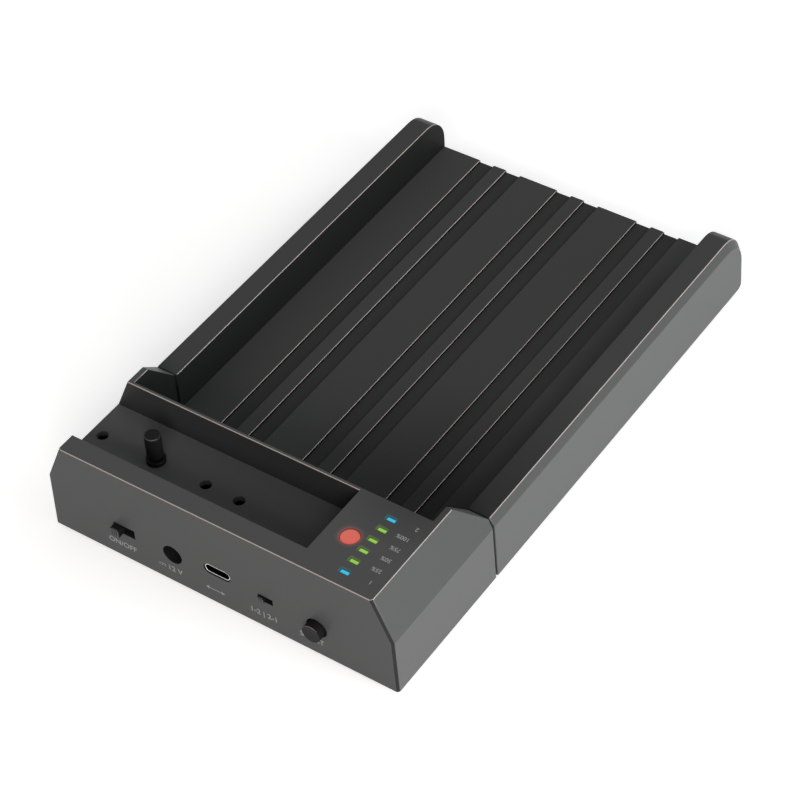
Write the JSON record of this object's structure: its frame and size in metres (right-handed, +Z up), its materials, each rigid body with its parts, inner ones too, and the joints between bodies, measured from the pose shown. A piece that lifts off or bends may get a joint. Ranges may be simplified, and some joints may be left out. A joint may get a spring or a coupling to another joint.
{
  "type": "hard drive docking station",
  "caption": "Flat drive docking station: ribbed tray between side rails, behind a raised control box with an SSD channel, status lights, power and data ports, slide switches and a push button.",
  "frame": {"origin": "centre of the overall box on the plane the feet stand on", "axes": "+X to the right seen from the front, +Y from the front face to the tray's rear end, +Z up"},
  "size_m": [0.1228, 0.1986, 0.0359],
  "materials": {
    "shell_plastic": "satin dark grey moulded plastic with a faint streak",
    "cover_plastic": "matt dark grey moulded plastic",
    "black_rubber": "matt black rubber",
    "zinc_steel": "zinc plated",
    "board_laminate": "green solder mask on glass laminate",
    "black_plastic": "matt black moulded plastic",
    "gold_plate": "gold plated contacts",
    "led_resin": "moulded resin",
    "red_lens": "tinted clear plastic, lit",
    "blue_lens": "tinted clear plastic, lit",
    "green_lens": "tinted clear plastic, lit",
    "tinned_steel": "bright tin plate",
    "ferrite": "moulded ferrite",
    "capacitor_can": "drawn aluminium can"
  },
  "bodies": {
    "dock": {"front_housing": "shell_plastic", "rear_tray": "shell_plastic", "base_cover": "cover_plastic", "rubber_feet": "black_rubber", "front_screws": "zinc_steel", "tray_screws": "zinc_steel", "board_screws": "zinc_steel", "led_board_screws": "zinc_steel", "main_board": "board_laminate", "led_board": "board_laminate", "board_header": "black_plastic", "clone_switch_body": "black_plastic", "dc_jack_body": "black_plastic", "usb_c_tongue": "black_plastic", "m2_socket": "black_plastic", "sata_receptacle": "black_plastic", "bridge_chips": "black_plastic", "flash_chip": "black_plastic", "regulators": "black_plastic", "header_pins": "gold_plate", "usb_c_contacts": "gold_plate", "m2_contacts": "gold_plate", "sata_contacts": "gold_plate", "status_leds": "led_resin", "power_lens": "red_lens", "ssd_lens": "blue_lens", "hdd_lens": "blue_lens", "progress_lenses": "green_lens", "power_switch_body": "tinned_steel", "direction_switch_body": "tinned_steel", "dc_jack_pin": "tinned_steel", "dc_jack_spring": "tinned_steel", "usb_c_shell": "tinned_steel", "crystal": "tinned_steel", "inductors": "ferrite", "bulk_capacitors": "capacitor_can"},
    "power_knob": {"power_switch_knob": "black_plastic"},
    "direction_knob": {"direction_switch_knob": "black_plastic"},
    "clone_cap": {"clone_button": "black_plastic", "clone_plunger": "black_plastic"},
    "peg": {"ssd_peg": "black_rubber"}
  },
  "joints": [
    {"name": "power_switch_slide", "type": "slide", "parent": "dock", "child": "power_knob", "axis": [1, 0, 0], "range_m": [0, 0.0038]},
    {"name": "direction_switch_slide", "type": "slide", "parent": "dock", "child": "direction_knob", "axis": [1, 0, 0], "range_m": [0, 0.0022]},
    {"name": "clone_button_press", "type": "slide", "parent": "dock", "child": "clone_cap", "axis": [0, 1, 0], "range_m": [0, 0.0012], "stiffness_N_per_m": 800},
    {"name": "ssd_peg_lift", "type": "slide", "parent": "dock", "child": "peg", "axis": [0, 0, 1], "range_m": [0, 0.02]}
  ]
}
